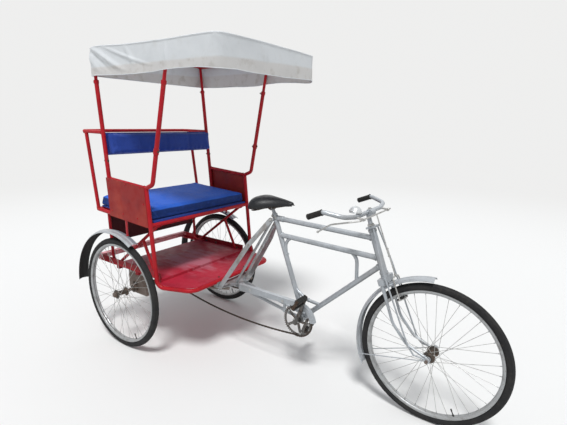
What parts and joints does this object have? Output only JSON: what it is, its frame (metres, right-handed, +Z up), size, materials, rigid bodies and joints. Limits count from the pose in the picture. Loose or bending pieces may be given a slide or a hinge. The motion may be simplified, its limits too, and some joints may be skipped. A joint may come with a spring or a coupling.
{
  "type": "passenger tricycle",
  "caption": "Pedal-driven passenger tricycle: roadster front half with chain drive, wire wheels and a canopied bench carriage over the rear axle.",
  "frame": {"origin": "on the ground, under the middle of the overall box, on the plane of symmetry", "axes": "+X forward, +Y to the rider's left, +Z up"},
  "size_m": [2.616, 1.023, 1.858],
  "materials": {
    "frame_silver": "brushed-on satin paint",
    "carriage_red": "gloss",
    "apron_maroon": "satin",
    "deck_red": "worn",
    "cushion_blue": "coated cloth",
    "canopy_cloth": "tarpaulin",
    "tyre": "matt",
    "rim_steel": "dull plated",
    "spoke_steel": "galvanised",
    "hub_dark": "rusted",
    "saddle_black": "satin",
    "grip_rubber": "matt",
    "bell_white": "gloss",
    "fender_silver": "satin",
    "chain_dark": "oiled",
    "pedal_rubber": "matt",
    "axle_steel": "rusted",
    "board_wood": "bare",
    "crank_steel": "worn"
  },
  "bodies": {
    "chassis_and_frame": {"cycle_frame": "frame_silver", "rear_stays": "frame_silver", "chainstays": "frame_silver", "seat_post": "frame_silver", "saddle": "saddle_black", "chain": "chain_dark", "chain_guard": "frame_silver", "rear_fenders": "fender_silver", "chassis": "carriage_red", "rear_deck": "deck_red", "front_deck": "deck_red", "deck_beams": "carriage_red", "platform_hoop": "carriage_red", "seat_frame": "carriage_red", "back_uprights": "carriage_red", "leg_frames": "carriage_red", "arm_rails": "carriage_red", "arm_panels": "carriage_red", "canopy_posts_rear": "carriage_red", "canopy_posts_front": "carriage_red", "seat_apron": "apron_maroon", "handrail": "carriage_red", "seat_board": "board_wood", "seat_cushion": "cushion_blue", "backrest_board": "board_wood", "backrest_cushion": "cushion_blue", "canopy_frame": "carriage_red", "canopy": "canopy_cloth", "axle_hangers": "axle_steel", "drawbars": "axle_steel"},
    "steering": {"fork": "frame_silver", "duplex_stays": "frame_silver", "handlebar": "spoke_steel", "grips": "grip_rubber", "brake_gear": "spoke_steel", "bell": "bell_white", "front_fender": "fender_silver", "front_axle": "axle_steel"},
    "front_wheel": {"front_tyre": "tyre", "front_rim": "rim_steel", "front_spokes": "spoke_steel", "front_hub": "hub_dark"},
    "rear_wheel_right": {"rear_right_tyre": "tyre", "rear_right_rim": "rim_steel", "rear_right_spokes": "spoke_steel", "rear_right_hub": "hub_dark"},
    "rear_wheel_left": {"rear_left_tyre": "tyre", "rear_left_rim": "rim_steel", "rear_left_spokes": "spoke_steel", "rear_left_hub": "hub_dark", "rear_axle": "axle_steel"},
    "crank": {"crankset": "crank_steel"},
    "right_pedal": {"pedal_right": "axle_steel", "pedal_right_rubbers": "pedal_rubber"},
    "left_pedal": {"pedal_left": "axle_steel", "pedal_left_rubbers": "pedal_rubber"}
  },
  "joints": [
    {"name": "steering_head", "type": "hinge", "parent": "chassis_and_frame", "child": "steering", "pos_m": [0.706, 0, 0.665], "axis": [-0.342, 0, 0.9397], "range_deg": [-45, 45]},
    {"name": "front_wheel_spin", "type": "hinge", "parent": "steering", "child": "front_wheel", "pos_m": [0.952, 0, 0.356], "axis": [0, 1, 0], "continuous": true},
    {"name": "rear_wheel_right_spin", "type": "hinge", "parent": "chassis_and_frame", "child": "rear_wheel_right", "pos_m": [-0.857, -0.4555, 0.356], "axis": [0, 1, 0], "continuous": true},
    {"name": "rear_wheel_left_spin", "type": "hinge", "parent": "chassis_and_frame", "child": "rear_wheel_left", "pos_m": [-0.857, 0.4555, 0.356], "axis": [0, 1, 0], "continuous": true},
    {"name": "crank_spin", "type": "hinge", "parent": "chassis_and_frame", "child": "crank", "pos_m": [0.228, 0, 0.335], "axis": [0, 1, 0], "continuous": true},
    {"name": "right_pedal_spin", "type": "hinge", "parent": "crank", "child": "right_pedal", "pos_m": [0.28713, -0.15, 0.48904], "axis": [0, 1, 0], "continuous": true},
    {"name": "left_pedal_spin", "type": "hinge", "parent": "crank", "child": "left_pedal", "pos_m": [0.16887, 0.15, 0.18096], "axis": [0, 1, 0], "continuous": true}
  ]
}
